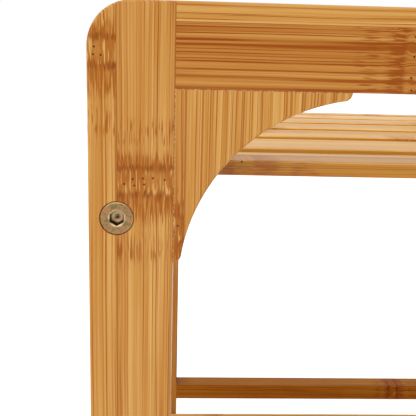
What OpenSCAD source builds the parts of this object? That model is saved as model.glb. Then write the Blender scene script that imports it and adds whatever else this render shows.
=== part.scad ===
// Entryway bench. Two glued end frames stand at the left and right. Four long rails are bolted
// between them and carry a slatted seat and a slatted lower shelf. The top rails of the end
// frames rise above the seat as low handles, with a curved bracket in each of their corners.
// Origin: on the floor under the middle of the bench. +X right, -Y front, +Z up. Millimetres.

/* [Overall size] */
// Length over the outer faces of the two end frames
bench_l = 480; // [460:5:600]
// Depth over the front and rear edges of the legs
bench_d = 360; // [330:5:400]
// Height from the floor to the top of the end frames
bench_h = 460; // [455:5:500]

/* [End frames] */
// Thickness of the legs, end rails and brackets
frame_t = 20; // [20:1:24]
// Width of a leg
leg_w = 30; // [30:1:40]
// Radius of the outer top corner of a leg
leg_corner_r = 15.5; // [5:0.5:18]
// Height of a top rail
top_rail_h = 29; // [27:1:34]
// Height of a lower end rail
lower_rail_h = 17; // [14:1:22]
// Drop from the top of the frame to the top of the lower end rail
lower_rail_drop = 367; // [340:1:372]

/* [Corner brackets] */
// Length of a bracket along the leg and along the rail
bracket_reach = 61.5; // [55:0.5:66]
// Radius of the hollow edge of a bracket
bracket_arc_r = 67.5; // [65:0.1:72]
// Wood left between the hollow edge and the leg or rail at its thinnest
bracket_tip_t = 2.1; // [2:0.1:4]
// Rounding of the two tips
bracket_tip_r = 3; // [1:0.5:3]

/* [Seat and shelf] */
// Drop from the top of the frame to the top of the seat slats
seat_drop = 56; // [52:1:70]
// Drop from the top of the frame to the top of the shelf slats
shelf_drop = 400; // [395:1:410]
// Thickness of the slats
slat_t = 6; // [6:0.5:9]
// Width of the two end slats of a deck
end_slat_w = 30; // [30:1:42]
// Gap between neighbouring slats
slat_gap = 20; // [6:1:22]
// Gap between the end slats and the end frames
deck_gap = 5; // [4:1:8]
// Distance from the slat ends back to the front and rear edges of the legs
slat_inset = 1; // [0:0.5:3]
// Width of a long rail
rail_w = 20; // [18:1:24]
// Height of a long rail
rail_h = 28; // [27:1:34]

/* [Bolts and barrel nuts] */
// Diameter of the bolt shank
bolt_d = 6; // [5:1:6]
// Length of the bolt under its head
bolt_l = 42; // [41:1:42]
// Diameter of the flat bolt head
bolt_head_d = 12; // [11:0.5:14]
// Thickness of the flat bolt head
bolt_head_t = 2.5; // [2:0.1:3]
// Size of the hexagon socket across its flats
socket_af = 5; // [4:1:5]
// Depth of the hexagon socket
socket_depth = 3.2; // [2.5:0.1:4]
// Depth of a bolt axis below the underside of the slats
bolt_drop = 12.5; // [11:0.5:13]
// Distance of a bolt axis from the front or rear edge of its leg
bolt_inset = 10; // [9:0.5:12]
// Diameter of a barrel nut
nut_d = 10; // [9:0.5:10]
// Length of a barrel nut
nut_l = 14; // [12:1:14]
// Distance of a barrel nut from the end of its rail
nut_inset = 20; // [18:1:20]

/* [Dowels, screws and pads] */
// Diameter of every dowel
dowel_d = 6; // [5:1:6]
// Length of the dowels between the legs and the end rails
frame_dowel_l = 30; // [24:2:30]
// Length of the dowels that hold the brackets and locate the long rails
short_dowel_l = 20; // [18:1:22]
// Diameter of a slat screw shank
screw_d = 3.5; // [3:0.5:4]
// Diameter of a slat screw head
screw_head_d = 7; // [6:0.5:8]
// Depth of the slat screw holes that widen for the heads
screw_sink = 12; // [10:1:14]
// Diameter of a foot pad
pad_d = 16; // [12:1:18]
// Thickness of a foot pad
pad_t = 2; // [1:0.5:4]

/* [Hidden] */
$fn = 64;

wood = "#C9975A";
slat_wood = "#D9B080";
rail_wood = "#B98550";
zinc_yellow = "#A5946A";
steel = "#B4B6B8";
dowel_wood = "#DEC79C";
pad_grey = "#4A4A48";

eps = 0.5;                      // how far a cutter runs past the face that it cuts
hole_gap = 0.3;                 // clearance around a bolt shank and a screw
head_gap = 0.15;                // clearance around a bolt head
end_x = bench_l / 2;            // outer face of the right end frame
rail_end_x = end_x - frame_t;   // inner face of the right end frame
front_y = -bench_d / 2;         // front edge of the front legs
leg_inner_y = front_y + leg_w;
bolt_y = front_y + bolt_inset;
seat_rail_z = bench_h - seat_drop - slat_t;     // top of the long rails under the seat
shelf_rail_z = bench_h - shelf_drop - slat_t;   // top of the long rails under the shelf
deck_rail_z = [seat_rail_z, shelf_rail_z];
top_rail_z = bench_h - top_rail_h;              // underside of a top rail
lower_rail_z = bench_h - lower_rail_drop - lower_rail_h;

bolt_hole_d = bolt_d + 2 * hole_gap;
bolt_seat_x = end_x - bolt_head_t - 0.2;        // underside of the bolt heads, just below flush
bolt_hole_end = bolt_seat_x - bolt_l - 1;
nut_x = rail_end_x - nut_inset;
nut_top = nut_l / 2;

dowel_hole_l = 0.5;             // empty depth left at each end of a dowel
rail_dowel_drop = bolt_drop + 9.5;
rail_dowel_in_leg = 8;          // how deep a locating dowel sits in the leg
bracket_dowel_in_frame = 8;     // how deep a bracket dowel sits in the leg or rail
bracket_leg_dowel = 20;         // from the inner corner down to the dowel into the leg
bracket_rail_dowel = 24;        // from the inner corner along to the dowel into the rail
top_dowel_rise = [8, 21];       // above the underside of the top rail
lower_dowel_x = [5.5, 14.5];    // from the inner face of the end frame

slat_count = 7;
slat_pitch = (bench_l - 2 * (frame_t + deck_gap + end_slat_w) - slat_gap) / (slat_count - 2);
slat_w = slat_pitch - slat_gap;
deck_end_x = rail_end_x - deck_gap;
screw_l = rail_h - screw_sink + slat_t - 2;     // stops below the top of the slat
end_screw_x = nut_x - 10;       // screws of the end slats, clear of the barrel nuts

// Middle of slat i, counted from the left, along X
function slat_x(i) =
    i == 1 ? -deck_end_x + end_slat_w / 2 :
    i == slat_count ? deck_end_x - end_slat_w / 2 :
    (i - (slat_count + 1) / 2) * slat_pitch;
// Width of slat i
function width_of_slat(i) = i == 1 || i == slat_count ? end_slat_w : slat_w;
// Place of the screws of slat i along X
function screw_x(i) =
    i == 1 ? -end_screw_x :
    i == slat_count ? end_screw_x :
    slat_x(i);

// Everything is drawn for the right front corner. These copy it to the other side or corners.
module to_left(is_left = true) {
    mirror([is_left ? 1 : 0, 0, 0]) children();
}

module to_rear(is_rear = true) {
    mirror([0, is_rear ? 1 : 0, 0]) children();
}

module at_all_corners() {
    for (is_left = [false, true], is_rear = [false, true])
        to_left(is_left) to_rear(is_rear) children();
}

// A cylinder along X that starts at [x, y, z] and runs towards -X
module bar_to_left(x, y, z, d, l) {
    translate([x, y, z]) rotate([0, -90, 0]) cylinder(h = l, d = d);
}

// A cylinder along Y, centred on its length
module bar_along_y(x, y, z, d, l) {
    translate([x, y, z]) rotate([90, 0, 0]) cylinder(h = l, d = d, center = true);
}

// Extrudes a profile drawn in the YZ plane through the thickness of the right end frame
module frame_profile() {
    translate([rail_end_x, 0, 0]) rotate([90, 0, 90]) linear_extrude(frame_t) children();
}

// Centres of the dowels between the right front leg and its end rails
module at_frame_dowels() {
    for (rise = top_dowel_rise)
        translate([end_x - frame_t / 2, leg_inner_y, top_rail_z + rise]) children();
    for (x = lower_dowel_x)
        translate([rail_end_x + x, leg_inner_y, lower_rail_z + lower_rail_h / 2]) children();
}

module frame_dowel(extra = 0) {
    bar_along_y(0, 0, 0, dowel_d, frame_dowel_l + 2 * extra);
}

// The dowel from the right front bracket into the leg
module bracket_leg_dowel_shape(extra = 0) {
    middle_y = leg_inner_y - bracket_dowel_in_frame + short_dowel_l / 2;
    bar_along_y(end_x - frame_t / 2, middle_y, top_rail_z - bracket_leg_dowel,
        dowel_d, short_dowel_l + 2 * extra);
}

// The dowel from the right front bracket up into the top rail
module bracket_rail_dowel_shape(extra = 0) {
    bottom_z = top_rail_z + bracket_dowel_in_frame - short_dowel_l - extra;
    translate([end_x - frame_t / 2, leg_inner_y + bracket_rail_dowel, bottom_z])
        cylinder(h = short_dowel_l + 2 * extra, d = dowel_d);
}

// The dowel that locates the right end of the front rail whose top is at rail_z
module locating_dowel(rail_z, extra = 0) {
    bar_to_left(rail_end_x + rail_dowel_in_leg + extra, bolt_y, rail_z - rail_dowel_drop,
        dowel_d, short_dowel_l + 2 * extra);
}

// Wooden frame parts

module leg() {
    color(wood) difference() {
        frame_profile() difference() {
            translate([front_y, pad_t]) square([leg_w, bench_h - pad_t]);
            translate([front_y, bench_h - leg_corner_r]) difference() {
                translate([-eps, 0]) square([leg_corner_r + eps, leg_corner_r + eps]);
                translate([leg_corner_r, 0]) circle(leg_corner_r);
            }
        }
        for (rail_z = deck_rail_z) {
            bar_to_left(end_x + eps, bolt_y, rail_z - bolt_drop, bolt_hole_d, frame_t + 2 * eps);
            bar_to_left(end_x + eps, bolt_y, rail_z - bolt_drop,
                bolt_head_d + 2 * head_gap, end_x + eps - bolt_seat_x);
            locating_dowel(rail_z, dowel_hole_l);
        }
        at_frame_dowels() frame_dowel(dowel_hole_l);
        bracket_leg_dowel_shape(dowel_hole_l);
    }
}

// A rail between the two legs of the right end frame, from z up to z + h
module end_rail(z, h) {
    length = bench_d - 2 * leg_w;
    color(wood) difference() {
        translate([rail_end_x, -length / 2, z]) cube([frame_t, length, h]);
        for (is_rear = [false, true]) to_rear(is_rear) {
            at_frame_dowels() frame_dowel(dowel_hole_l);
            bracket_rail_dowel_shape(dowel_hole_l);
        }
    }
}

module top_rail() {
    end_rail(top_rail_z, top_rail_h);
}

module lower_rail() {
    end_rail(lower_rail_z, lower_rail_h);
}

// Outline of a bracket: the inner corner of the frame is at the origin, the rail along +X and
// the leg along -Y
module bracket_outline() {
    arc_c = bracket_arc_r + bracket_tip_t;
    tip_x = bracket_reach - bracket_tip_r;
    tip_y = arc_c - sqrt(pow(bracket_arc_r, 2) - pow(arc_c - tip_x, 2)) - bracket_tip_r;
    difference() {
        translate([0, -bracket_reach]) square(bracket_reach);
        translate([arc_c, -arc_c]) circle(bracket_arc_r, $fn = 128);
        translate([tip_x, -bracket_reach]) square(bracket_reach);
        translate([0, -tip_x - bracket_reach]) square(bracket_reach);
    }
    intersection() {
        translate([0, -bracket_reach]) square(bracket_reach);
        union() {
            translate([tip_x, -tip_y]) circle(bracket_tip_r);
            translate([tip_y, -tip_x]) circle(bracket_tip_r);
        }
    }
}

module bracket() {
    color(wood) difference() {
        frame_profile() translate([leg_inner_y, top_rail_z]) bracket_outline();
        bracket_leg_dowel_shape(dowel_hole_l);
        bracket_rail_dowel_shape(dowel_hole_l);
    }
}

// A front long rail whose top is at rail_z
module long_rail(rail_z) {
    bottom_z = rail_z - rail_h;
    color(rail_wood) difference() {
        translate([-rail_end_x, front_y, bottom_z]) cube([2 * rail_end_x, rail_w, rail_h]);
        for (is_left = [false, true]) to_left(is_left) {
            bar_to_left(rail_end_x + eps, bolt_y, rail_z - bolt_drop,
                bolt_hole_d, rail_end_x + eps - bolt_hole_end);
            translate([nut_x, bolt_y, bottom_z - eps])
                cylinder(h = rail_z - bolt_drop + nut_top - bottom_z + eps, d = nut_d);
            locating_dowel(rail_z, dowel_hole_l);
        }
        for (i = [1 : slat_count]) translate([screw_x(i), bolt_y, bottom_z - eps]) {
            cylinder(h = screw_sink + eps, d = screw_head_d + 2 * hole_gap);
            cylinder(h = rail_h + 2 * eps, d = screw_d + hole_gap);
        }
    }
}

// Slat i of the deck whose long rails have their tops at rail_z
module slat(i, rail_z) {
    length = bench_d - 2 * slat_inset;
    color(slat_wood) difference() {
        translate([slat_x(i) - width_of_slat(i) / 2, -length / 2, rail_z])
            cube([width_of_slat(i), length, slat_t]);
        for (is_rear = [false, true]) to_rear(is_rear)
            translate([screw_x(i), bolt_y, rail_z - eps])
                cylinder(h = slat_t - 2 + eps, d = screw_d);
    }
}

// Hardware

// A bolt that lies along -X, with the outer face of its head at the origin
module bolt() {
    bevel = 0.45;
    head_r = bolt_head_d / 2;
    hex_r = socket_af / 2 / cos(30);
    rotate([0, -90, 0]) difference() {
        rotate_extrude() polygon([
            [0, 0], [head_r - bevel, 0], [head_r, bevel], [head_r, bolt_head_t],
            [bolt_d / 2, bolt_head_t], [bolt_d / 2, bolt_head_t + bolt_l - 1],
            [bolt_d / 2 - 1, bolt_head_t + bolt_l], [0, bolt_head_t + bolt_l]
        ]);
        translate([0, 0, -eps]) cylinder(h = socket_depth + eps, r = hex_r, $fn = 6);
        translate([0, 0, -eps])
            cylinder(h = bevel + eps, r1 = hex_r + bevel + eps, r2 = hex_r - 0.05);
    }
}

module bolts(rail_z) {
    color(zinc_yellow) at_all_corners()
        translate([bolt_seat_x + bolt_head_t, bolt_y, rail_z - bolt_drop]) bolt();
}

// A cross dowel with its threaded hole along X and a screwdriver slot below
module barrel_nut() {
    difference() {
        cylinder(h = nut_l, d = nut_d, center = true);
        bar_to_left(nut_d, 0, 0, bolt_d, 2 * nut_d);
        translate([0, 0, -nut_l / 2]) cube([nut_d + 1, 1.2, 3], center = true);
    }
}

module barrel_nuts(rail_z) {
    color(steel) at_all_corners()
        translate([nut_x, bolt_y, rail_z - bolt_drop]) barrel_nut();
}

module rail_locating_dowels() {
    color(dowel_wood) at_all_corners()
        for (rail_z = deck_rail_z) locating_dowel(rail_z);
}

module frame_dowels() {
    color(dowel_wood) at_all_corners() at_frame_dowels() frame_dowel();
}

module bracket_dowels() {
    color(dowel_wood) at_all_corners() {
        bracket_leg_dowel_shape();
        bracket_rail_dowel_shape();
    }
}

// A screw that points up, with the top of its head at the origin
module slat_screw() {
    head_t = 2.2;
    tip_l = 3;
    slot_w = 0.8;
    difference() {
        rotate_extrude() polygon([
            [0, -head_t], [screw_head_d / 2 - 0.8, -head_t], [screw_head_d / 2, -head_t + 1],
            [screw_head_d / 2, 0], [screw_d / 2, 0], [screw_d / 2, screw_l - tip_l],
            [0.4, screw_l], [0, screw_l]
        ]);
        for (turn = [0, 90]) rotate(turn)
            translate([0, 0, -head_t]) cube([3.6, slot_w, 2.4], center = true);
    }
}

module slat_screws(rail_z) {
    color(steel) for (i = [1 : slat_count], is_rear = [false, true])
        to_rear(is_rear)
            translate([screw_x(i), bolt_y, rail_z - rail_h + screw_sink]) slat_screw();
}

module foot_pad() {
    bevel = 0.4;
    color(pad_grey) translate([end_x - frame_t / 2, front_y + leg_w / 2, 0])
        rotate_extrude() polygon([
            [0, 0], [pad_d / 2 - bevel, 0], [pad_d / 2, bevel], [pad_d / 2, pad_t], [0, pad_t]
        ]);
}

leg();  // right_front_leg
to_rear() leg();  // right_rear_leg
to_left() leg();  // left_front_leg
to_left() to_rear() leg();  // left_rear_leg
top_rail();  // right_top_rail
to_left() top_rail();  // left_top_rail
lower_rail();  // right_lower_rail
to_left() lower_rail();  // left_lower_rail
bracket();  // right_front_bracket
to_rear() bracket();  // right_rear_bracket
to_left() bracket();  // left_front_bracket
to_left() to_rear() bracket();  // left_rear_bracket
long_rail(seat_rail_z);  // seat_front_rail
to_rear() long_rail(seat_rail_z);  // seat_rear_rail
long_rail(shelf_rail_z);  // shelf_front_rail
to_rear() long_rail(shelf_rail_z);  // shelf_rear_rail
slat(1, seat_rail_z);  // seat_slat_1
slat(2, seat_rail_z);  // seat_slat_2
slat(3, seat_rail_z);  // seat_slat_3
slat(4, seat_rail_z);  // seat_slat_4
slat(5, seat_rail_z);  // seat_slat_5
slat(6, seat_rail_z);  // seat_slat_6
slat(7, seat_rail_z);  // seat_slat_7
slat(1, shelf_rail_z);  // shelf_slat_1
slat(2, shelf_rail_z);  // shelf_slat_2
slat(3, shelf_rail_z);  // shelf_slat_3
slat(4, shelf_rail_z);  // shelf_slat_4
slat(5, shelf_rail_z);  // shelf_slat_5
slat(6, shelf_rail_z);  // shelf_slat_6
slat(7, shelf_rail_z);  // shelf_slat_7
bolts(seat_rail_z);  // seat_bolts
bolts(shelf_rail_z);  // shelf_bolts
barrel_nuts(seat_rail_z);  // seat_barrel_nuts
barrel_nuts(shelf_rail_z);  // shelf_barrel_nuts
rail_locating_dowels();
frame_dowels();
bracket_dowels();
slat_screws(seat_rail_z);  // seat_slat_screws
slat_screws(shelf_rail_z);  // shelf_slat_screws
foot_pad();  // right_front_foot_pad
to_rear() foot_pad();  // right_rear_foot_pad
to_left() foot_pad();  // left_front_foot_pad
to_left() to_rear() foot_pad();  // left_rear_foot_pad
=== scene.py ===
"""Looks of the entryway bench: laminated bamboo with sanded edges, plated bolts, a pale studio."""
import math
import random
from collections import namedtuple

import bmesh
import bpy
from mathutils import Matrix, Vector
from mathutils.geometry import tessellate_polygon


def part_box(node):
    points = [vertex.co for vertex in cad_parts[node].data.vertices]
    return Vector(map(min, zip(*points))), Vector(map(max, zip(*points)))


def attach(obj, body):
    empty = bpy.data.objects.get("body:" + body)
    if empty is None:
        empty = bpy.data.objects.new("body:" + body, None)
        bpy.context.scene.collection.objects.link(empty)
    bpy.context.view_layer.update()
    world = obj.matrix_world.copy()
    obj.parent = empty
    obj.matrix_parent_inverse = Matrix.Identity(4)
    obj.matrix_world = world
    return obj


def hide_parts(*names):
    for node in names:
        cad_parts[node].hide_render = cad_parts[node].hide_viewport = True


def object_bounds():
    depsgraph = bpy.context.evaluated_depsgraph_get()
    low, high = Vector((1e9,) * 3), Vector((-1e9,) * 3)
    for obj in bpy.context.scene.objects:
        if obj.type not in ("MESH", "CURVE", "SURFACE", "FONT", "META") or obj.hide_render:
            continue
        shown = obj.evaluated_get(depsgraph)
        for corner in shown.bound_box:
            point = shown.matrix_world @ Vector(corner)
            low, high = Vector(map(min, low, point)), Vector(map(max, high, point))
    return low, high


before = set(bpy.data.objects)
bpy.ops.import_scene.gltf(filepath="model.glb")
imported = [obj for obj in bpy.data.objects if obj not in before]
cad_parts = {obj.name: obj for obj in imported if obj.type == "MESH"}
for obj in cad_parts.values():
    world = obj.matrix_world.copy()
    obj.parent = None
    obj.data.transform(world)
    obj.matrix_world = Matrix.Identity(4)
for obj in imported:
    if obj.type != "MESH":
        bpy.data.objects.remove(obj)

CAD_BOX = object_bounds()
MM = 0.001
X, Y, Z = Vector((1, 0, 0)), Vector((0, 1, 0)), Vector((0, 0, 1))

# Sizes that the nodes' boxes don't give
LEG_CORNER_RADIUS = 15.5 * MM
BRACKET_ARC_RADIUS = 67.5 * MM
BRACKET_TIP_THICKNESS = 2.1 * MM
BRACKET_TIP_RADIUS = 3 * MM
BOLT_HEAD_RADIUS = 6 * MM
BOLT_HOLE_RADIUS = 3.3 * MM
HEAD_HOLE_RADIUS = 6.15 * MM
HEAD_HOLE_DEPTH = 2.7 * MM
NUT_RADIUS = 5 * MM           # of a barrel nut and of its hole
NUT_HOLE_DEPTH = 23 * MM
SCREW_SINK_RADIUS = 3.8 * MM
SCREW_SINK_DEPTH = 12 * MM
SCREW_HOLE_RADIUS = 1.9 * MM

# How the wood is finished
FRAME_FILLET = 1.0 * MM
SLAT_FILLET = 0.8 * MM
GLUE_GROOVE = 0.16 * MM       # tiny bevel along an edge that is glued to a neighbour
SLAT_CORNER_RADIUS = 2 * MM
FILLET_FADE = 4 * MM          # a fillet fades out over this length where it meets a joint
FILLET_STEPS = 4
ROUND_SEGMENTS = 48
SHARP_ANGLE = math.radians(32)

LAMELLA = 20                  # width of a bamboo strip, in mm
PLY = 5                       # thickness of a glued layer, in mm

# A strip's start and its node, in mm from the board's own corner, its tone from 0 for dark to 1
# for light, and how strongly its node shows
Strip = namedtuple("Strip", "start tone node_at mark", defaults=(1.0,))


# ---------------------------------------------------------------- boards

class Board:
    """A piece of wood's own frame: u and v lie in its main face and w goes into it."""

    def __init__(self, origin, u, v, w):
        self.origin, self.u, self.v, self.w = origin, u, v, w

    def point(self, u, v, w):
        return self.origin + self.u * u + self.v * v + self.w * w


def board_on(node, u, v, w):
    """A board frame at the corner of node's box from which u, v and w point inwards."""
    low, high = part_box(node)
    inwards = u + v + w
    corner = [high[i] if inwards[i] < 0 else low[i] for i in range(3)]
    return Board(Vector(corner), u, v, w)


def size_along(node, axis):
    """The size of node's box along X, Y or Z."""
    low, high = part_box(node)
    return abs((high - low).dot(axis))


def arc(centre, radius, start, end, steps):
    """Points on an arc, with its angles in degrees."""
    turns = [math.radians(start + (end - start) * i / steps) for i in range(steps + 1)]
    return [
        (centre[0] + radius * math.cos(a), centre[1] + radius * math.sin(a)) for a in turns
    ]


def soft(points):
    """Outline points whose following edges are sanded round."""
    return [(u, v, True) for u, v in points]


def joint(points):
    """Outline points whose following edges are glued to a neighbour and stay square."""
    return [(u, v, False) for u, v in points]


def inset(outline, soft_distance, joint_distance):
    """The outline with its soft edges and its glued edges moved inwards."""
    flats = [Vector((u, v)) for u, v, _ in outline]
    count = len(flats)
    area = sum(flats[i].cross(flats[(i + 1) % count]) for i in range(count))
    turn = 1 if area > 0 else -1
    moved = []
    for i, here in enumerate(flats):
        before = (here - flats[i - 1]).normalized()
        after = (flats[(i + 1) % count] - here).normalized()
        d_before = soft_distance if outline[i - 1][2] else joint_distance
        d_after = soft_distance if outline[i][2] else joint_distance
        bend = before.cross(after)
        if abs(bend) < 1e-4:
            inwards = Vector((-after.y, after.x)) * turn
            moved.append(here + inwards * min(d_before, d_after))
        else:
            moved.append(here + (after * d_before - before * d_after) * turn / bend)
    return moved


def bridge(bm, lower, upper):
    """Quads between two closed rings of the same length."""
    count = len(lower)
    return [
        bm.faces.new((lower[i], lower[(i + 1) % count], upper[(i + 1) % count], upper[i]))
        for i in range(count)
    ]


def fill(bm, loops):
    """A flat face inside the first loop, with the other loops as its holes."""
    if len(loops) == 1:
        bm.faces.new(loops[0])
        return
    corners = [v for loop in loops for v in loop]
    for triangle in tessellate_polygon([[v.co for v in loop] for loop in loops]):
        bm.faces.new([corners[i] for i in triangle])


def finished(name, bm, material, nodes):
    """Makes bm a piece with smooth shading that stands for the named CAD nodes."""
    bmesh.ops.recalc_face_normals(bm, faces=bm.faces)
    for edge in bm.edges:
        edge.smooth = not (edge.is_manifold and edge.calc_face_angle(0) > SHARP_ANGLE)
    for face in bm.faces:
        face.smooth = True
    mesh = bpy.data.meshes.new(name)
    bm.to_mesh(mesh)
    bm.free()
    mesh.materials.append(material)
    piece = bpy.data.objects.new(name, mesh)
    bpy.context.scene.collection.objects.link(piece)
    normals = piece.modifiers.new("flat faces stay flat", "WEIGHTED_NORMAL")
    normals.weight = 100
    normals.keep_sharp = True
    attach(piece, "root")
    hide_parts(*nodes)
    return piece


def make_board(node, board, outline, thickness, fillet, material, holes=()):
    """A board with the outline in u and v, sanded along its soft edges.

    Each hole is (u, v, [(radius, depth), ...]), a chain of rings that starts on one face and may
    end on the other.
    """
    bm = bmesh.new()
    # The middle of each sanded edge is lighter: rubbed lacquer and a painted highlight
    wear_and_highlight = bm.verts.layers.float.new("wear_and_highlight")
    glue = bm.faces.layers.float.new("glue")
    angles = [i * math.pi / 2 / FILLET_STEPS for i in range(FILLET_STEPS + 1)]
    near = [
        (fillet * (1 - math.sin(a)), fillet * (1 - math.cos(a)), math.sin(2 * a)) for a in angles
    ]
    levels = near + [(back, thickness - depth, worn) for back, depth, worn in reversed(near)]
    rings = []
    for back, depth, worn in levels:
        ring = []
        groove = GLUE_GROOVE if depth in (0, thickness) else 0
        for i, flat in enumerate(inset(outline, back, groove)):
            vertex = bm.verts.new(board.point(flat.x, flat.y, depth))
            vertex[wear_and_highlight] = worn * (outline[i][2] and outline[i - 1][2])
            ring.append(vertex)
        rings.append(ring)
    for level, (lower, upper) in enumerate(zip(rings, rings[1:])):
        outermost = level in (0, len(rings) - 2)
        for face, (_, _, is_soft) in zip(bridge(bm, lower, upper), outline):
            face[glue] = outermost and not is_soft
    faces = {0: [rings[0]], thickness: [rings[-1]]}
    for u, v, chain in holes:
        loops = []
        for radius, depth in chain:
            circle = arc((u, v), radius, 0, 360, ROUND_SEGMENTS)[:-1]
            loops.append([bm.verts.new(board.point(a, b, depth)) for a, b in circle])
        for lower, upper in zip(loops, loops[1:]):
            bridge(bm, lower, upper)
        faces[chain[0][1]].append(loops[0])
        if chain[-1][1] in faces:
            faces[chain[-1][1]].append(loops[-1])
        else:
            fill(bm, [loops[-1]])
    for loops in faces.values():
        fill(bm, loops)
    return finished(f"{node}_wood", bm, material, [node])


# ---------------------------------------------------------------- shader helpers

def srgb(red, green, blue):
    """A colour given as 8-bit sRGB, in the linear form that shaders use."""
    def linear(value):
        value /= 255
        return value / 12.92 if value <= 0.04045 else ((value + 0.055) / 1.055) ** 2.4
    return (linear(red), linear(green), linear(blue), 1)


class Graph:
    """Short names for the shader nodes used here."""

    def __init__(self, tree):
        self.tree = tree

    def add(self, kind, **settings):
        node = self.tree.nodes.new(kind)
        for name, value in settings.items():
            setattr(node, name, value)
        return node

    def feed(self, socket, value):
        if isinstance(value, bpy.types.NodeSocket):
            self.tree.links.new(value, socket)
        else:
            socket.default_value = value

    def math(self, operation, *values, clamp=False):
        node = self.add("ShaderNodeMath", operation=operation, use_clamp=clamp)
        for socket, value in zip(node.inputs, values):
            self.feed(socket, value)
        return node.outputs[0]

    def vector(self, x, y, z):
        node = self.add("ShaderNodeCombineXYZ")
        for socket, value in zip(node.inputs, (x, y, z)):
            self.feed(socket, value)
        return node.outputs[0]

    def dot(self, vector, axis):
        node = self.add("ShaderNodeVectorMath", operation="DOT_PRODUCT")
        self.feed(node.inputs[0], vector)
        self.feed(node.inputs[1], axis)
        return node.outputs["Value"]

    def noise(self, vector, detail=2.0, roughness=0.5, scale=1.0):
        node = self.add("ShaderNodeTexNoise", noise_dimensions="3D")
        self.feed(node.inputs["Vector"], vector)
        node.inputs["Scale"].default_value = scale
        node.inputs["Detail"].default_value = detail
        node.inputs["Roughness"].default_value = roughness
        return node.outputs["Fac"]

    def length(self, first, second):
        """Distance from zero of a point given by two values."""
        node = self.add("ShaderNodeVectorMath", operation="LENGTH")
        self.feed(node.inputs[0], self.vector(first, second, 0.0))
        return node.outputs["Value"]

    def white(self, value):
        node = self.add("ShaderNodeTexWhiteNoise", noise_dimensions="1D")
        self.feed(node.inputs["W"], value)
        return node.outputs["Value"]

    def ramp(self, value, low, high, to_low=0.0, to_high=1.0):
        """A smooth step from to_low at low to to_high at high."""
        node = self.add("ShaderNodeMapRange", interpolation_type="SMOOTHSTEP")
        for socket, number in zip(node.inputs, (value, low, high, to_low, to_high)):
            self.feed(socket, number)
        return node.outputs["Result"]

    def mix(self, factor, first, second, mode="MIX"):
        node = self.add("ShaderNodeMix", data_type="RGBA", blend_type=mode)
        self.feed(node.inputs["Factor"], factor)
        colours = [s for s in node.inputs if s.type == "RGBA"]
        self.feed(colours[0], first)
        self.feed(colours[1], second)
        return [s for s in node.outputs if s.type == "RGBA"][0]

    def attribute(self, name):
        """A value that the mesh carries."""
        return self.add("ShaderNodeAttribute", attribute_name=name).outputs["Fac"]

    def position(self):
        return self.add("ShaderNodeTexCoord").outputs["Object"]

    def place(self, scale=(1, 1, 1), shift=(0, 0, 0)):
        """The position in mm, stretched and shifted."""
        node = self.add("ShaderNodeMapping")
        self.feed(node.inputs["Vector"], self.position())
        node.inputs["Scale"].default_value = [factor / MM for factor in scale]
        node.inputs["Location"].default_value = shift
        return node.outputs["Vector"]

    def output(self, shader):
        self.tree.links.new(shader, self.add("ShaderNodeOutputMaterial").inputs["Surface"])


def new_material(name):
    material = bpy.data.materials.new(name)
    material.use_nodes = True
    material.node_tree.nodes.clear()
    return material, Graph(material.node_tree)


def shader(graph, colour, roughness, height=None, bump_mm=0.1, bump=0.5, **plain):
    """A Principled shader. The plain values are constant and set on its own sockets."""
    surface = graph.add("ShaderNodeBsdfPrincipled")
    graph.feed(surface.inputs["Base Color"], colour)
    graph.feed(surface.inputs["Roughness"], roughness)
    for name, value in plain.items():
        surface.inputs[name.replace("_", " ")].default_value = value
    if height is not None:
        relief = graph.add("ShaderNodeBump")
        relief.inputs["Strength"].default_value = bump
        relief.inputs["Distance"].default_value = bump_mm * MM
        graph.feed(relief.inputs["Height"], height)
        graph.feed(surface.inputs["Normal"], relief.outputs["Normal"])
    graph.output(surface.outputs["BSDF"])


# ---------------------------------------------------------------- bamboo

PALE = srgb(203, 156, 88)
PLAIN = srgb(192, 139, 70)
DEEP = srgb(178, 118, 46)
LINE = srgb(150, 78, 8)
NODE = srgb(158, 88, 14)
NODE_RIM = srgb(120, 56, 6)
DASH = srgb(212, 168, 98)
PORE = srgb(46, 24, 10)
GLUE = srgb(143, 80, 24)
GLUE_CRUMBS = srgb(176, 164, 146)
WHITE = (1, 1, 1, 1)

# Painted light and shade: a lighter tint for the slats' tops, a darker one for their sides, and
# painted shade over the one lower rail under the seat
SLAT_TOP_PAINTED_LIGHT = (1.3, 1.42, 1.4, 1)
SLAT_SIDES_PAINTED_SHADE = (0.93, 0.82, 0.3, 1)
RAIL_PAINTED_SHADE = (0.8, 0.72, 0.25, 1)

LACQUER_ROUGHNESS = 0.34
TONE_GAINS = (0.5, 0.95, 1.5)  # how much a lighter tone adds to red, green and blue

# Seeds and offsets only choose which random numbers are drawn.
SEED_SPREAD = 37.0            # between the seeds of a board's strips
SECOND, THIRD = 0.37, 0.71    # offsets of a cell's further random numbers

# Sets of grain lines: from cell to cell, how much a line's half width varies, how dark the lines
# are, and an offset that keeps the sets apart. Sizes are in mm.
LineSet = namedtuple("LineSet", "spacing spare_width strength offset")
LINE_SETS = (
    LineSet(1.0, 0.06, 1.0, 3.3),
    LineSet(2.7, 0.14, 1.0, 6.1),
    LineSet(7.9, 0.30, 0.8, 9.7),
)
LEAST_LINE = 0.12             # least half width of a line, in mm

# Rows of pinholes in a node: from the node's middle, and from hole to hole, in mm
PINHOLE_ROWS = ((-1.1, 3.6), (1.1, 3.1))
PINHOLE_RADIUS = (0.48, 0.22)  # where a hole starts and is fully dark, in mm
PINHOLE_DEPTH = (1.2, 0.7)    # below the board's face, where the holes end and fade, in mm

# From the middle of a node along the grain, in mm
HAZE_END, HAZE_FULL = 11.0, 4.0
RIM_AT = 4.6
RAGGED = 6.5                  # how far the rims wander


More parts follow.
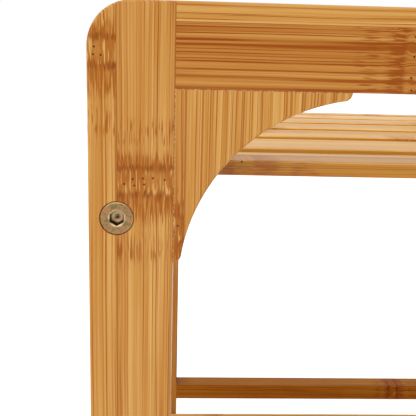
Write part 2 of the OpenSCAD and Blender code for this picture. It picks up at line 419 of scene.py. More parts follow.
class Grain:
    """A point of the wood: its place in the board and from its strip's node, in mm."""

    def __init__(self, g, given):
        self.g = g
        place = g.add("ShaderNodeSeparateXYZ")
        g.feed(place.inputs[0], given["Place"])
        self.across, self.along, self.depth = place.outputs
        strip = g.add("ShaderNodeSeparateColor")
        g.feed(strip.inputs[0], given["Strip"])
        self.tone, node_place, strip_seed = strip.outputs
        self.seed = g.math("MULTIPLY_ADD", strip_seed, SEED_SPREAD, given["Seed"])
        self.from_node = g.math("SUBTRACT", self.along, g.math("MULTIPLY", node_place, 1 / MM))
        self.away = g.math("ABSOLUTE", self.from_node)
        # Marks reach further along the grain on one side of a node than on the other.
        reach = g.ramp(self.from_node, -2.0, 6.0, 1.0, 0.7)
        self.spread = g.math("MULTIPLY", self.away, reach)
        self.fibre = self.wandering()

    def seeded(self, offset):
        """The strip's own seed, moved on by the offset."""
        return self.g.math("ADD", self.seed, offset)

    def drawn(self, cell, which=0.0):
        """A random number from 0 to 1 for a cell, which has several of them."""
        return self.g.white(self.g.math("ADD", cell, which) if which else cell)

    def streaks(self, per_mm_across, per_mm_along, offset, detail=2.0, across=None):
        """Noise drawn out along the grain. The offset keeps it apart from the other noises."""
        g = self.g
        across = self.across if across is None else across
        return g.noise(g.vector(
            g.math("MULTIPLY_ADD", across, per_mm_across, self.seeded(offset)),
            g.math("MULTIPLY", self.along, per_mm_along),
            g.math("MULTIPLY", self.depth, per_mm_across)), detail)

    def clouds(self, per_mm_across, per_mm_along, seed, detail=2.0):
        """Soft noise over the board's face."""
        g = self.g
        return g.noise(g.vector(
            g.math("MULTIPLY", self.across, per_mm_across),
            g.math("MULTIPLY", self.along, per_mm_along), seed), detail)

    def wandering(self):
        """The place across the fibres, which wander a little and bow where they pass a node.

        It grows with depth too, so that narrow faces get lines of their own.
        """
        g = self.g
        near_node = g.math("SUBTRACT", 1.0, g.ramp(self.away, 2.0, 15.0))
        bow = g.math("MULTIPLY", g.math("SUBTRACT", self.streaks(0.3, 0.12, 5.5), 0.5), near_node)
        drift = g.math("SUBTRACT", self.streaks(0.03, 0.006, 9.1), 0.5)
        wander = g.math("MULTIPLY_ADD", bow, 5.0, g.math("MULTIPLY", drift, 3.0))
        return g.math("ADD", g.math("MULTIPLY_ADD", self.depth, 1.3, self.across), wander)


def plain_wood(wood, fibres, line_strength):
    """The colour of the broad bands and the fine fibres."""
    g = wood.g
    bands = wood.streaks(0.5, 0.005, 1.3, 1.0, wood.fibre)
    colour = g.mix(g.ramp(bands, 0.3, 0.56), DEEP, PLAIN)
    darkest = g.ramp(bands, 0.4, 0.28, 0.0, 0.55)
    colour = g.mix(g.math("MULTIPLY", darkest, line_strength, clamp=True), colour, LINE)
    colour = g.mix(g.ramp(bands, 0.5, 0.75), colour, PALE)
    colour = g.mix(g.ramp(fibres, 0.5, 0.76, 0.0, 0.5), colour, PALE)
    return g.mix(g.ramp(fibres, 0.5, 0.22, 0.0, 0.6), colour, DEEP)


def grain_lines(wood):
    """Thin straight lines: one in each cell, with its own place, width and strength."""
    g = wood.g
    lines = 0.0
    for spacing, spare_width, strength, offset in LINE_SETS:
        cells = g.math("ADD", g.math("DIVIDE", wood.fibre, spacing), wood.seeded(offset))
        cell = g.math("FLOOR", cells)
        middle = g.math("MULTIPLY_ADD", wood.drawn(cell), 0.7, 0.15)
        aside = g.math("ABSOLUTE", g.math("SUBTRACT", g.math("FRACT", cells), middle))
        aside = g.math("MULTIPLY", aside, spacing)
        half_width = wood.drawn(cell, SECOND)
        half_width = g.math("MULTIPLY_ADD", half_width, spare_width, LEAST_LINE)
        line = g.ramp(g.math("DIVIDE", aside, half_width), 1.3, 0.6)
        stretch = g.vector(cell, g.math("MULTIPLY", wood.along, 0.016), offset)
        fading = g.ramp(g.noise(stretch, 1.0), 0.35, 0.6, 0.3, 1.0)
        dark = g.math("MULTIPLY", g.ramp(wood.drawn(cell, THIRD), 0.1, 0.8), strength)
        line = g.math("MULTIPLY", line, g.math("MULTIPLY", fading, dark))
        lines = g.math("MAXIMUM", lines, line)
    return lines


def short_streaks(wood, line_strength):
    """Short tapering streaks: dense close to a node, and in patches a little further off.

    The ramps of spread and away have their limits in mm.
    """
    g = wood.g
    patches = g.ramp(wood.clouds(0.06, 0.022, wood.seeded(3.9), 1.0), 0.3, 0.5)
    further = g.math("MULTIPLY", g.ramp(wood.spread, 11.5, 14.5), g.ramp(wood.spread, 24.0, 18.0))
    further = g.math("MULTIPLY", patches, further)
    close = g.math("MULTIPLY", g.ramp(wood.spread, 13.0, 8.0), g.ramp(wood.away, 3.0, 5.0))
    more_when_close = g.ramp(wood.spread, 13.0, 4.0)
    streaks = g.math("MULTIPLY_ADD", more_when_close, 0.12, wood.streaks(1.75, 0.11, 7.7, 1.0))
    streaks = g.math("MULTIPLY", g.ramp(streaks, 0.5, 0.64), g.math("MAXIMUM", further, close))
    return g.math("MULTIPLY", streaks, g.math("MINIMUM", line_strength, 0.9))


def node_marks(wood, colour, haze, mark, line_strength):
    """A node of the culm: a brown zone with pale dashes, between two ragged dark rims.

    The ramps of edge, from_rim and dash_edge have their limits in mm.
    """
    g = wood.g
    ragged = g.math("SUBTRACT", wood.streaks(1.5, 0.1, 8.8, 3.0), 0.5)
    ragged = g.math("MULTIPLY", ragged, RAGGED)
    edge = g.math("ADD", wood.away, ragged)
    colour = g.mix(g.math("MULTIPLY", g.math("MULTIPLY", haze, 0.45), mark), colour, NODE)

    blotches = g.ramp(wood.clouds(0.16, 0.12, wood.seed), 0.35, 0.65)
    zone = g.math("MULTIPLY", g.ramp(edge, 5.6, 3.8), mark)
    zone = g.math("MULTIPLY", zone, g.math("MULTIPLY_ADD", blotches, 0.5, 0.25))
    colour = g.mix(zone, colour, NODE)

    from_rim = g.math("ABSOLUTE", g.math("SUBTRACT", edge, RIM_AT))
    broken = g.ramp(wood.streaks(0.3, 0.03, 12.1), 0.34, 0.6)
    rim = g.math("MULTIPLY", g.math("MULTIPLY", g.ramp(from_rim, 1.9, 0.5), broken), mark)
    teeth = g.ramp(wood.streaks(1.9, 0.07, 14.9, 1.0), 0.36, 0.6, 0.35, 1.0)
    dark = g.math("MULTIPLY", teeth, g.math("MULTIPLY_ADD", line_strength, 0.6, 0.25))
    colour = g.mix(g.math("MULTIPLY", rim, dark, clamp=True), colour, NODE_RIM)

    dash_edge = g.math("ADD", wood.away, g.math("MULTIPLY", ragged, 0.6))
    dashes = g.ramp(wood.streaks(1.35, 0.1, 10.4, 1.0), 0.56, 0.66)
    dashes = g.math("MULTIPLY", g.ramp(dash_edge, 5.0, 3.2), dashes)
    return g.mix(g.math("MULTIPLY", g.math("MULTIPLY", dashes, 0.75), mark), colour, DASH)


def pinholes(wood):
    """Two rows of tiny dark holes in a node, near the board's face only."""
    g = wood.g
    holes = 0.0
    for row, spacing in PINHOLE_ROWS:
        cells = g.math("ADD", g.math("DIVIDE", wood.across, spacing), wood.seeded(row))
        cell = g.math("FLOOR", cells)
        middle = g.math("MULTIPLY_ADD", wood.drawn(cell), 0.5, 0.25)
        sideways = g.math("MULTIPLY", g.math("SUBTRACT", g.math("FRACT", cells), middle), spacing)
        uneven = g.math("MULTIPLY_ADD", wood.drawn(cell, SECOND), 0.7, row - 0.35)
        lengthways = g.math("SUBTRACT", wood.from_node, uneven)
        there = g.math("GREATER_THAN", wood.drawn(cell, THIRD), 0.3)
        hole = g.ramp(g.length(sideways, lengthways), *PINHOLE_RADIUS)
        hole = g.math("MULTIPLY", hole, there)
        holes = g.math("MAXIMUM", holes, hole)
    return g.math("MULTIPLY", holes, g.ramp(wood.depth, *PINHOLE_DEPTH))


def tone_tint(wood, layer, wear_and_highlight):
    """A tint that makes darker bamboo redder too. Strips, layers and clouds have tones."""
    g = wood.g
    layer_number = g.math("FLOOR", layer)
    layer_tone = g.math("SUBTRACT", g.white(g.math("ADD", layer_number, wood.seed)), 0.5)
    layer_tone = g.math("MULTIPLY", layer_tone, g.math("MINIMUM", layer_number, 1.0))
    cloudy = g.math("SUBTRACT", wood.clouds(0.05, 0.014, wood.seed), 0.5)
    shift = g.math("MULTIPLY_ADD", cloudy, 0.35, g.math("SUBTRACT", wood.tone, 0.5))
    shift = g.math("MULTIPLY_ADD", layer_tone, 0.25, shift)
    # Rubbed lacquer and a painted highlight make edges a little lighter
    shift = g.math("MULTIPLY_ADD", wear_and_highlight, 0.05, shift)
    return g.vector(*(g.math("MULTIPLY_ADD", shift, gain, 1.0) for gain in TONE_GAINS))


def bamboo_group():
    """Laminated bamboo. Place is in mm: x across the strips, y along the grain, z inwards."""
    tree = bpy.data.node_groups.new("laminated_bamboo", "ShaderNodeTree")
    inputs = {
        "Place": "Vector", "Strip": "Color", "Mark": "Float", "Glue line": "Float",
        "Seed": "Float", "Line strength": "Float", "Wear and highlight": "Float",
    }
    outputs = {"Color": "Color", "Roughness": "Float", "Height": "Float"}
    for in_out, sockets in (("INPUT", inputs), ("OUTPUT", outputs)):
        for name, kind in sockets.items():
            socket_type = f"NodeSocket{kind}"
            tree.interface.new_socket(name=name, in_out=in_out, socket_type=socket_type)
    g = Graph(tree)
    given = g.add("NodeGroupInput").outputs
    line_strength = given["Line strength"]
    wood = Grain(g, given)

    fibres = wood.streaks(1.4, 0.02, 2.7, 2.0, wood.fibre)
    lines = grain_lines(wood)
    haze = g.ramp(wood.spread, HAZE_END, HAZE_FULL)
    pores = pinholes(wood)
    colour = plain_wood(wood, fibres, line_strength)
    colour = g.mix(g.math("MULTIPLY", lines, line_strength, clamp=True), colour, LINE)
    colour = g.mix(short_streaks(wood, line_strength), colour, LINE)
    colour = node_marks(wood, colour, haze, given["Mark"], line_strength)
    colour = g.mix(g.math("MULTIPLY", pores, 0.95), colour, PORE)

    # Glue shows between strips and between layers.
    layer = g.math("ADD", g.math("DIVIDE", wood.depth, PLY), 0.5)
    from_layer_edge = g.math("ABSOLUTE", g.math("SUBTRACT", g.math("FRACT", layer), 0.5))
    glue = g.math("MAXIMUM", g.ramp(from_layer_edge, 0.46, 0.495), given["Glue line"])
    colour = g.mix(g.math("MULTIPLY", glue, 0.7), colour, GLUE)
    colour = g.mix(1.0, colour, tone_tint(wood, layer, given["Wear and highlight"]), "MULTIPLY")

    rough = g.math("SUBTRACT", fibres, 0.5)
    rough = g.math("MULTIPLY_ADD", rough, 0.2, LACQUER_ROUGHNESS)
    rough = g.math("MULTIPLY_ADD", haze, 0.06, rough)
    rough = g.math("MULTIPLY_ADD", given["Wear and highlight"], -0.06, rough)
    height = g.math("MULTIPLY_ADD", lines, -0.35, g.math("MULTIPLY", fibres, 0.4))
    height = g.math("SUBTRACT", height, pores)
    height = g.math("MULTIPLY_ADD", glue, -0.3, height)
    out = g.add("NodeGroupOutput")
    g.feed(out.inputs["Color"], colour)
    g.feed(out.inputs["Roughness"], rough)
    g.feed(out.inputs["Height"], height)
    return tree


BAMBOO = bamboo_group()


def strip_ramp(g, strips, width, seed):
    """A stepped ramp whose red, green, blue and alpha are a strip's tone, node, seed and mark."""
    ramp = g.add("ShaderNodeValToRGB")
    ramp.color_ramp.interpolation = "CONSTANT"
    draw = random.Random(seed)
    stops = ramp.color_ramp.elements
    for i, strip in enumerate(strips):
        place = max(strip.start, 0) / width
        stop = stops[i] if i < 2 else stops.new(place)
        stop.position = place
        stop.color = (strip.tone, strip.node_at * MM, draw.random(), strip.mark)
    if len(strips) == 1:
        stops.remove(stops[1])
    return ramp


def bamboo(name, board, strips, seed, lines=0.95, strip_axis="u", gloss=0.2, crumbly=0.0,
           face=WHITE, sides=WHITE):
    """Lacquered bamboo whose grain runs along the board's v, with its strips side by side.

    Tints of painted light and shade can go on the broad face and on the rest. Crumbly glue shows
    as pale crumbs in the joints.
    """
    material, g = new_material(name)
    position = g.position()
    axes = {"u": board.u, "v": board.v, "w": board.w}
    depth_axis = "w" if strip_axis == "u" else "u"

    def measured(axis):
        here = g.dot(position, axes[axis] / MM)
        return g.math("SUBTRACT", here, board.origin.dot(axes[axis]) / MM)

    across, along, depth = (measured(axis) for axis in (strip_axis, "v", depth_axis))
    width = max(s.start for s in strips) + LAMELLA
    ramp = strip_ramp(g, strips, width, seed)
    g.feed(ramp.inputs[0], g.math("DIVIDE", across, width))
    glue = 0.0
    for strip in strips[1:]:
        off = g.math("ABSOLUTE", g.math("SUBTRACT", across, float(strip.start)))
        glue = g.math("MAXIMUM", glue, g.math("SUBTRACT", 1.0, g.ramp(off, 0.08, 0.28)))
    wood = g.add("ShaderNodeGroup", node_tree=BAMBOO)
    g.feed(wood.inputs["Place"], g.vector(across, along, depth))
    g.feed(wood.inputs["Strip"], ramp.outputs["Color"])
    g.feed(wood.inputs["Mark"], ramp.outputs["Alpha"])
    g.feed(wood.inputs["Glue line"], glue)
    g.feed(wood.inputs["Seed"], float(seed))
    g.feed(wood.inputs["Line strength"], lines)
    g.feed(wood.inputs["Wear and highlight"], g.attribute("wear_and_highlight"))
    crumbs = g.ramp(g.noise(g.place((0.9, 0.9, 0.9)), 2.0), 0.45, 0.58, 0.0, crumbly)
    bead = g.mix(crumbs, GLUE, GLUE_CRUMBS)
    # Painted light and shade: one tint for the broad face, another for the rest
    tint = g.mix(g.ramp(depth, 0.3, 0.9), face, sides)
    colour = g.mix(1.0, wood.outputs["Color"], tint, "MULTIPLY")
    colour = g.mix(g.math("MULTIPLY", g.attribute("glue"), 0.85), colour, bead)
    shader(g, colour, wood.outputs["Roughness"], wood.outputs["Height"],
           bump_mm=0.12, bump=0.45, Specular_IOR_Level=0.5 * gloss, Coat_Weight=0.6 * gloss,
           Coat_Roughness=0.22)
    return material


def usual_strips(width, length, seed, tone, first=None):
    """Strips of one width over a board, with their own tones and node places.

    The first joint is that many mm from the board's edge, or else anywhere.
    """
    draw = random.Random(seed * 7 + 3)
    start = first if first is not None else draw.uniform(6, LAMELLA)
    edges = [0]
    while start < width / MM - 1:
        edges.append(start)
        start += LAMELLA
    return [
        Strip(
            start=edge,
            tone=tone + draw.uniform(-0.14, 0.14),
            node_at=draw.uniform(0.1, 0.9) * length / MM,
            mark=draw.uniform(0.3, 0.9),
        )
        for edge in edges
    ]


# ---------------------------------------------------------------- end frames

def outward(node):
    """Which way the outside is from this node: +1 or -1 along X, and along Y."""
    low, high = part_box(node)
    middle = (low + high) / 2
    return (1 if middle.x > 0 else -1), (1 if middle.y > 0 else -1)


LEG_WIDTH = size_along("right_front_leg", Y)
FRAME_THICKNESS = size_along("right_front_leg", X)
LEG_LENGTH = size_along("right_front_leg", Z)
RAIL_HEIGHT = size_along("right_top_rail", Z)
BRACKET_REACH = size_along("right_front_bracket", Y)
FRAME_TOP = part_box("right_front_leg")[1].z

# The lower rails' edges and the bolts, downwards from the frame's top, and the bolts' place
# across a leg from its outer edge
LOWER_RAIL = [FRAME_TOP - corner.z for corner in reversed(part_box("right_lower_rail"))]
BOLT_DROPS = [
    FRAME_TOP - sum(corner.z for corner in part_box(node)) / 2
    for node in ("seat_bolts", "shelf_bolts")
]
BOLT_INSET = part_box("seat_bolts")[0].y + BOLT_HEAD_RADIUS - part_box("right_front_leg")[0].y


def leg_outline():
    """From the outer edge, u = 0, to the inner edge, and down from the top."""
    bracket_end = RAIL_HEIGHT + BRACKET_REACH
    inner = [
        (LEG_WIDTH, 0, False),
        (LEG_WIDTH, bracket_end, True),
        (LEG_WIDTH, bracket_end + FILLET_FADE, True),
        (LEG_WIDTH, LOWER_RAIL[0] - FILLET_FADE, True),
        (LEG_WIDTH, LOWER_RAIL[0], False),
        (LEG_WIDTH, LOWER_RAIL[1], True),
        (LEG_WIDTH, LOWER_RAIL[1] + FILLET_FADE, True),
    ]
    foot = 1.5 * MM
    corner = arc((LEG_CORNER_RADIUS, LEG_CORNER_RADIUS), LEG_CORNER_RADIUS, 180, 270, 20)
    return inner + soft(
        arc((LEG_WIDTH - foot, LEG_LENGTH - foot), foot, 0, 90, 4)
        + arc((foot, LEG_LENGTH - foot), foot, 90, 180, 4)
        + corner
    )


def bolt_hole(u, v):
    """Rings of a bolt's hole through a leg, from the outer face in."""
    rim = 0.15 * MM
    return (u, v, [
        (HEAD_HOLE_RADIUS + rim, 0), (HEAD_HOLE_RADIUS, rim), (HEAD_HOLE_RADIUS, HEAD_HOLE_DEPTH),
        (BOLT_HOLE_RADIUS, HEAD_HOLE_DEPTH), (BOLT_HOLE_RADIUS, FRAME_THICKNESS),
    ])


def make_legs():
    near_strips = [Strip(0, 0.54, 17), Strip(10, 0.46, 61.3)]
    names = ("right_front_leg", "right_rear_leg", "left_front_leg", "left_rear_leg")
    holes = [bolt_hole(BOLT_INSET, drop) for drop in BOLT_DROPS]
    for number, node in enumerate(names):
        out_x, out_y = outward(node)
        board = board_on(node, Y * -out_y, -Z, X * -out_x)
        strips = near_strips
        if number > 0:
            strips = usual_strips(LEG_WIDTH, LEG_LENGTH, seed=20 + number, tone=0.5, first=10)
        material = bamboo(f"bamboo_{node}", board, strips, seed=3 + 5 * number)
        make_board(node, board, leg_outline(), FRAME_THICKNESS, FRAME_FILLET, material,
                   holes)


def end_rail_outline(height, length, bracket_reach):
    """From the top, u = 0, downwards, and along the rail. Brackets are glued to its underside."""
    under = [(height, length, True)]
    if bracket_reach:
        under = [
            (height, length, False),
            (height, length - bracket_reach, True),
            (height, length - bracket_reach - FILLET_FADE, True),
            (height, bracket_reach + FILLET_FADE, True),
            (height, bracket_reach, False),
        ]
    return [(0, 0, True), (0, length, False)] + under + [(height, 0, False)]


def make_end_rails():
    length = size_along("right_top_rail", Y)
    for number, side in enumerate(("right", "left")):
        for level, reach in (("top", BRACKET_REACH), ("lower", 0)):
            node = f"{side}_{level}_rail"
            out_x, _ = outward(node)
            board = board_on(node, -Z, Y, X * -out_x)
            height = size_along(node, Z)
            strips = [Strip(0, 0.3, 250)]
            if level == "top":
                strips = [Strip(0, 0.58, 230), Strip(6.8, 0.2, 82.5 + 130 * number, 0.15)]
            # Painted shade darkens the left lower rail, which lies in the seat's shadow
            tint = RAIL_PAINTED_SHADE if node == "left_lower_rail" else WHITE
            seed = 50 + 3 * number + len(level)
            material = bamboo(f"bamboo_{node}", board, strips, seed, lines=1.4, face=tint,
                              sides=tint)
            make_board(node, board, end_rail_outline(height, length, reach), FRAME_THICKNESS,
                       FRAME_FILLET, material)


def bracket_outline():
    """From the inner corner of the frame, away from the leg, u, and down, v."""
    centre = BRACKET_ARC_RADIUS + BRACKET_TIP_THICKNESS
    tip_far = BRACKET_REACH - BRACKET_TIP_RADIUS
    tilt = math.degrees(math.asin((centre - tip_far) / BRACKET_ARC_RADIUS))
    arc_depth = centre - BRACKET_ARC_RADIUS * math.cos(math.radians(tilt))
    tip_near = arc_depth - BRACKET_TIP_RADIUS
    tuck = math.degrees(math.asin(tip_near / BRACKET_TIP_RADIUS))
    short = 12                # degrees between the end of a tip's curve and a quarter turn
    toe = arc((tip_far, tip_near), BRACKET_TIP_RADIUS, -tuck, 90 - short, 6)
    hollow = arc((centre, centre), BRACKET_ARC_RADIUS, 270 - tilt, 180 + tilt, 40)
    heel = arc((tip_near, tip_far), BRACKET_TIP_RADIUS, short, 90 + tuck, 6)
    return joint([(0, 0)]) + soft(toe + hollow + heel[:-1]) + joint(heel[-1:])


def make_brackets():
    near_strips = [
        Strip(0, 0.42, 49), Strip(3.8, 0.5, 400), Strip(23.8, 0.56, 420), Strip(43.8, 0.46, 440),
    ]
    plank = 600 * MM          # brackets are sawn from planks this long, so few have a node
    names = ("right_front_bracket", "right_rear_bracket", "left_front_bracket",
             "left_rear_bracket")
    for number, node in enumerate(names):
        out_x, out_y = outward(node)
        board = board_on(node, Y * -out_y, -Z, X * -out_x)
        strips = near_strips
        if number > 0:
            strips = usual_strips(BRACKET_REACH, plank, seed=50 + number, tone=0.55)
        material = bamboo(f"bamboo_{node}", board, strips, seed=61 + 4 * number, crumbly=1.0)
        make_board(node, board, bracket_outline(), FRAME_THICKNESS, FRAME_FILLET, material)


# ---------------------------------------------------------------- seat and shelf

SLAT_COUNT = 7                # in the seat, and in the shelf


def rectangle(width, length, radius, steps=4):
    """A soft outline with rounded corners."""
    points = []
    for u, v, start in ((radius, radius, 180), (width - radius, radius, 270),
                        (width - radius, length - radius, 0), (radius, length - radius, 90)):
        points += arc((u, v), radius, start, start + 90, steps)
    return soft(points)


def make_long_rails():
    width, height, length = (size_along("seat_front_rail", axis) for axis in (Y, Z, X))
    outline = [(0, 0, False), (width, 0, True), (width, length, False), (0, length, True)]
    nut_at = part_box("seat_barrel_nuts")[0].x + NUT_RADIUS
    sunk = height - SCREW_SINK_DEPTH
    screw_hole = [
        (SCREW_SINK_RADIUS, height), (SCREW_SINK_RADIUS, sunk),
        (SCREW_HOLE_RADIUS, sunk), (SCREW_HOLE_RADIUS, 0),
    ]
    nut_hole = [(NUT_RADIUS, height), (NUT_RADIUS, height - NUT_HOLE_DEPTH)]
    names = ("seat_front_rail", "seat_rear_rail", "shelf_front_rail", "shelf_rear_rail")
    for number, node in enumerate(names):
        _, out_y = outward(node)
        board = board_on(node, Y * -out_y, X, -Z)
        strips = usual_strips(height, length, seed=70 + number, tone=0.42, first=8)
        material = bamboo(f"bamboo_{node}", board, strips, seed=81 + 6 * number, lines=0.85,
                          strip_axis="w")
        start = board.origin.x
        holes = [(BOLT_INSET, x - start, screw_hole) for x in screw_places("seat_slat_screws")]
        holes += [(BOLT_INSET, x - start, nut_hole) for x in (nut_at, -nut_at)]
        make_board(node, board, outline, height, FRAME_FILLET, material, holes)


def screw_places(node):
    """Where the screws of a node are along X: the middles of its separate solids."""
    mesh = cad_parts[node].data
    places = sorted(v.co.x for v in mesh.vertices)
    between = 2 * MM          # no screw has a gap this long between its vertices along X
    groups = [[places[0]]]
    for x in places[1:]:
        if x - groups[-1][-1] > between:
            groups.append([])
        groups[-1].append(x)
    return [(group[0] + group[-1]) / 2 for group in groups]


def make_slats():
    nearest = "seat_slat_7"
    for deck in ("seat", "shelf"):
        for number in range(1, SLAT_COUNT + 1):
            node = f"{deck}_slat_{number}"
            board = board_on(node, -X, Y, -Z)
            width, length, thickness = (size_along(node, axis) for axis in (X, Y, Z))
            seed = 100 + 11 * number + len(deck)
            strips = usual_strips(width, length, seed, tone=0.66, first=20)
            if node == nearest:
                strips[0] = Strip(0, 0.4, 56, 0.15)
            # Painted light on each slat's top and painted shade on its sides and underside
            material = bamboo(f"bamboo_{node}", board, strips, seed,
                              lines=0.6 if node == nearest else 0.4, gloss=0.4,
                              face=SLAT_TOP_PAINTED_LIGHT, sides=SLAT_SIDES_PAINTED_SHADE)
            make_board(node, board, rectangle(width, length, SLAT_CORNER_RADIUS), thickness,
                       SLAT_FILLET, material)


# ---------------------------------------------------------------- hardware

def plated_material(name, warm, cool, shift, metallic=1.0):
    """Zinc plating with a mottled colour, fine grit, rubbed edges with painted highlights, and
    painted shade in its corners.
    """
    material, g = new_material(name)
    here = g.place(shift=(shift, shift * 2, shift * 3))
    patches = g.ramp(g.noise(here, 4.0, 0.7, scale=0.6), 0.45, 0.62)
    grit = g.noise(here, 4.0, 0.7, scale=4.0)
    worn = g.attribute("wear_and_highlight")
    colour = g.mix(patches, warm, cool)
    colour = g.mix(g.ramp(grit, 0.35, 0.75, 0.0, 0.3), colour, srgb(120, 92, 60))
    # Painted highlights on the head's bevel, the socket's mouth and its floor, lighter also where
    # the plating is rubbed
    colour = g.mix(g.math("MULTIPLY", worn, 0.5), colour, srgb(250, 220, 176))
    # Painted shade in the socket's hollows, darker low down
    painted_socket_shade = g.math("MULTIPLY", g.attribute("painted_socket_shade"), 0.9, clamp=True)
    colour = g.mix(painted_socket_shade, colour, srgb(56, 26, 8))
    rough = g.math("MULTIPLY_ADD", grit, 0.25, 0.28)
    rough = g.math("MULTIPLY_ADD", worn, -0.12, rough)
    shader(g, colour, rough, grit, bump_mm=0.03, bump=0.35, Metallic=metallic)
    return material


def angles_around():
    """The angles of the vertices around a round part."""
    return [2 * math.pi * i / ROUND_SEGMENTS for i in range(ROUND_SEGMENTS)]


def spin(bm, rings):
    """Bridges rings of vertices, and caps the first and last."""
    for lower, upper in zip(rings, rings[1:]):
        bridge(bm, lower, upper)
    bm.faces.new(rings[0])
    bm.faces.new(rings[-1])


# A ring of a bolt: its radius, its depth below the head's face, its rubbed plating with painted
# highlight, and its painted shade.
# The radius and the depth are functions of the angle around the bolt.
Ring = namedtuple("Ring", "radius depth worn dirty")


def bolt_ring(radius, depth, worn=0.0, dirty=0.0):
    """A ring whose radius and depth may be plain numbers."""
    return Ring(
        radius if callable(radius) else lambda angle: radius,
        depth if callable(depth) else lambda angle: depth,
        worn, dirty,
    )


def hexagon(angle):
    """Distance from a bolt's axis to its socket's wall. The corners point up and down."""
    half_width = 2.5 * MM
    return half_width / math.cos((angle % math.radians(60)) - math.radians(30))


def bolt_rings():
    """From the middle of the socket, over the head and down the shank to its end."""
    head_radius, head_depth, shank_radius = BOLT_HEAD_RADIUS, 2.5 * MM, 3 * MM
    socket_depth, mouth_radius = 2.8 * MM, 3.05 * MM

    def mouth_depth(angle):
        return (mouth_radius - hexagon(angle)) * 0.75

    # The rings paint highlights on the mouth, the floor and the bevel, and paint shade low in the
    # socket
    rings = [
        bolt_ring(0.3 * MM, socket_depth + 0.6 * MM, dirty=1.4),
        bolt_ring(0.9 * MM, socket_depth + 0.3 * MM, 0.2, 0.3),
        bolt_ring(1.6 * MM, socket_depth + 0.1 * MM, 0.6),
        bolt_ring(lambda angle: hexagon(angle) - 0.5 * MM, socket_depth, 0.1, 0.9),
        bolt_ring(hexagon, socket_depth - 0.1 * MM, dirty=1.6),
        bolt_ring(hexagon, lambda angle: mouth_depth(angle) + 0.3 * MM, dirty=1.4),
        bolt_ring(hexagon, mouth_depth, 0.6),
        bolt_ring(mouth_radius, 0, 0.9),
        bolt_ring(mouth_radius + 0.08 * MM, 0),
        bolt_ring(head_radius - 0.62 * MM, 0),
        bolt_ring(head_radius - 0.5 * MM, 0.03 * MM, 0.4),
        bolt_ring(head_radius - 0.12 * MM, 0.36 * MM, 1.5),
        bolt_ring(head_radius, 0.5 * MM),
        bolt_ring(head_radius, head_depth - 0.2 * MM),
        bolt_ring(head_radius - 0.2 * MM, head_depth),
        bolt_ring(shank_radius, head_depth),
    ]
    shank_length, plain_length, end_bevel = 42 * MM, 20 * MM, 1 * MM
    pitch, groove = 1 * MM, 0.35 * MM
    thread_start, end = head_depth + plain_length, head_depth + shank_length
    for turn in range(int((shank_length - plain_length - end_bevel) / pitch)):
        crest = thread_start + turn * pitch
        rings.append(bolt_ring(shank_radius, crest))
        rings.append(bolt_ring(shank_radius - groove, crest + pitch / 2))
    rings.append(bolt_ring(shank_radius, end - end_bevel))
    rings.append(bolt_ring(shank_radius - end_bevel, end))
    return rings


def make_bolts(node, material):
    """Flat-head bolts with a bevelled rim, a countersunk hexagon socket and a threaded end."""
    low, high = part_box(node)
    bm = bmesh.new()
    wear_and_highlight = bm.verts.layers.float.new("wear_and_highlight")
    painted_socket_shade = bm.verts.layers.float.new("painted_socket_shade")
    for end_x, out_x in ((high.x, 1), (low.x, -1)):
        for axis_y in (high.y - BOLT_HEAD_RADIUS, low.y + BOLT_HEAD_RADIUS):
            start = Vector((end_x, axis_y, (low.z + high.z) / 2))
            loops = []
            for ring in bolt_rings():
                loop = []
                for angle in angles_around():
                    reach = ring.radius(angle)
                    offset = Vector((
                        -out_x * ring.depth(angle),
                        reach * math.sin(angle),
                        reach * math.cos(angle),
                    ))
                    vertex = bm.verts.new(start + offset)
                    vertex[wear_and_highlight] = ring.worn
                    # Painted shade, heavier low in the socket.
                    vertex[painted_socket_shade] = ring.dirty * (0.6 - 0.4 * math.cos(angle))
                    loop.append(vertex)
                loops.append(loop)
            spin(bm, loops)
    return finished(f"{node}_plated", bm, material, [node])


def make_foot_pad(node, material):
    """A moulded pad with a rounded tread edge and a shallow ring groove under it."""
    low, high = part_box(node)
    centre = (low + high) / 2
    radius, thickness = (high.x - low.x) / 2, high.z - low.z
    groove, edge = 0.3 * MM, 0.5 * MM
    profile = [
        (0.35 * radius, 0), (0.42 * radius, groove), (0.55 * radius, groove), (0.62 * radius, 0),
    ] + [
        (radius - edge * (1 - math.sin(a)), edge * (1 - math.cos(a)))
        for a in (i * math.pi / 8 for i in range(5))
    ] + [(radius, thickness)]
    bm = bmesh.new()
    spin(bm, [
        [
            bm.verts.new(Vector((
                centre.x + reach * math.cos(a), centre.y + reach * math.sin(a), height)))
            for a in angles_around()
        ]
        for reach, height in profile
    ])
    return finished(f"{node}_moulded", bm, material, [node])


def rubber():
    material, g = new_material("foot_rubber")
    grain = g.noise(g.place(), 4.0, 0.7)
    colour = g.mix(g.ramp(grain, 0.35, 0.7), srgb(58, 57, 54), srgb(78, 76, 72))
    shader(g, colour, g.math("MULTIPLY_ADD", grain, 0.2, 0.6), grain, bump_mm=0.08, bump=0.4)
    return material


def beech():
    """Raw beech for the dowels, with short dark flecks."""
    material, g = new_material("dowel_beech")
    grain = g.noise(g.place((1.2, 0.35, 1.2)), 3.0, 0.6)
    colour = g.mix(g.ramp(grain, 0.3, 0.7), srgb(206, 170, 120), srgb(226, 198, 152))
    colour = g.mix(g.ramp(grain, 0.66, 0.72, 0.0, 0.6), colour, srgb(164, 116, 70))
    shader(g, colour, g.math("MULTIPLY_ADD", grain, 0.15, 0.55), grain, bump_mm=0.06, bump=0.4)
    return material


def repaint(nodes, material):
    """Gives carried-over CAD nodes a material."""
    for node in nodes:
        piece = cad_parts[node]
        for slot in piece.material_slots:
            slot.material = material


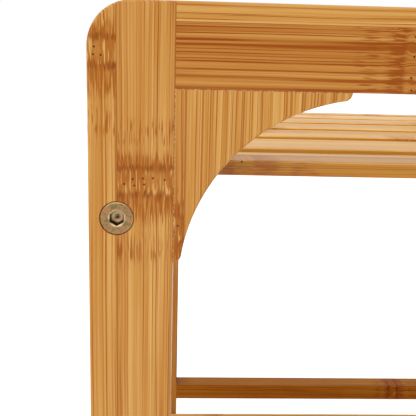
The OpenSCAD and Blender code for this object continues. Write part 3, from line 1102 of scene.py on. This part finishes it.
def make_hardware():
    zinc = plated_material("bolt_yellow_zinc", srgb(166, 122, 84), srgb(110, 110, 62), shift=2.0,
                           metallic=0.85)
    bright = plated_material("bright_zinc", srgb(190, 192, 194), srgb(168, 172, 178), shift=5.0)
    for node in ("seat_bolts", "shelf_bolts"):
        make_bolts(node, zinc)
    nuts = ("seat_barrel_nuts", "shelf_barrel_nuts")
    screws = ("seat_slat_screws", "shelf_slat_screws")
    repaint(nuts + screws, bright)
    repaint(("rail_locating_dowels", "frame_dowels", "bracket_dowels"), beech())
    pad = rubber()
    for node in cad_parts:
        if node.endswith("foot_pad"):
            make_foot_pad(node, pad)


# ---------------------------------------------------------------- studio

FLOOR_REACH = 30              # from the middle to each edge, in metres


def make_floor():
    bm = bmesh.new()
    bmesh.ops.create_grid(bm, x_segments=1, y_segments=1, size=FLOOR_REACH)
    mesh = bpy.data.meshes.new("studio_floor")
    bm.to_mesh(mesh)
    bm.free()
    floor = bpy.data.objects.new("studio_floor", mesh)
    bpy.context.scene.collection.objects.link(floor)
    material, g = new_material("pale_floor")
    shader(g, srgb(236, 236, 235), 0.8, Emission_Color=WHITE, Emission_Strength=0.25)
    mesh.materials.append(material)


def make_light(name, place, aim, size, power):
    data = bpy.data.lights.new(name, "AREA")
    data.shape = "SQUARE"
    data.size = size
    data.energy = power
    lamp = bpy.data.objects.new(name, data)
    lamp.location = place
    lamp.rotation_euler = (Vector(aim) - Vector(place)).to_track_quat("-Z", "Y").to_euler()
    lamp.visible_camera = False
    bpy.context.scene.collection.objects.link(lamp)


def make_world(overhead, around, behind):
    """White behind the object. Its light comes mostly from above and low past the left end."""
    world = bpy.data.worlds.new("studio")
    world.use_nodes = True
    world.node_tree.nodes.clear()
    g = Graph(world.node_tree)
    direction = g.add("ShaderNodeTexCoord").outputs["Generated"]
    overhead_from = Vector((0.25, -0.2, 0.94)).normalized()
    high = g.ramp(g.dot(direction, overhead_from), 0.1, 0.9)
    low_behind = g.math("MULTIPLY", g.ramp(g.dot(direction, X), -0.3, -0.85),
                        g.ramp(g.dot(direction, Z), 0.45, 0.1))
    strength = g.math("MULTIPLY_ADD", high, overhead, around)
    strength = g.math("MULTIPLY_ADD", low_behind, behind, strength)
    seen, light = g.add("ShaderNodeBackground"), g.add("ShaderNodeBackground")
    seen.inputs["Strength"].default_value = 1.0
    for background in (seen, light):
        background.inputs["Color"].default_value = WHITE
    g.feed(light.inputs["Strength"], strength)
    choice = g.add("ShaderNodeMixShader")
    g.feed(choice.inputs[0], g.add("ShaderNodeLightPath").outputs["Is Camera Ray"])
    g.feed(choice.inputs[1], light.outputs[0])
    g.feed(choice.inputs[2], seen.outputs[0])
    g.feed(g.add("ShaderNodeOutputWorld").inputs["Surface"], choice.outputs[0])
    bpy.context.scene.world = world


def make_camera():
    """Looks past the right front leg along the bench, from just outside the right end frame."""
    from_end, from_front, below_top = 223.7 * MM, 33.1 * MM, 26.1 * MM
    pitch, yaw, roll = (math.radians(angle) for angle in (11.14, 2.34, 1.40))
    low, high = CAD_BOX
    ahead = Vector((
        -math.cos(yaw) * math.cos(pitch), math.sin(yaw) * math.cos(pitch), -math.sin(pitch)))
    level = Vector((math.sin(yaw), math.cos(yaw), 0))
    upright = level.cross(ahead)
    right = level * math.cos(roll) + upright * math.sin(roll)
    up = upright * math.cos(roll) - level * math.sin(roll)
    data = bpy.data.cameras.new("camera")
    data.sensor_width = 36
    data.lens = 55.81
    data.clip_start = 0.01
    camera = bpy.data.objects.new("camera", data)
    turn = Matrix((right, up, -ahead)).transposed().to_4x4()
    place = Vector((high.x + from_end, low.y + from_front, high.z - below_top))
    camera.matrix_world = Matrix.Translation(place) @ turn
    bpy.context.scene.collection.objects.link(camera)
    bpy.context.scene.camera = camera


def make_studio():
    make_floor()
    make_world(overhead=1.6, around=0.12, behind=0.9)
    make_light("front_softbox", place=(1.9, -1.0, 1.6), aim=(0.2, 0, 0.35), size=1.4, power=4)
    bpy.context.scene.view_settings.view_transform = "Standard"


make_camera()
make_studio()
make_legs()
make_end_rails()
make_brackets()
make_long_rails()
make_slats()
make_hardware()
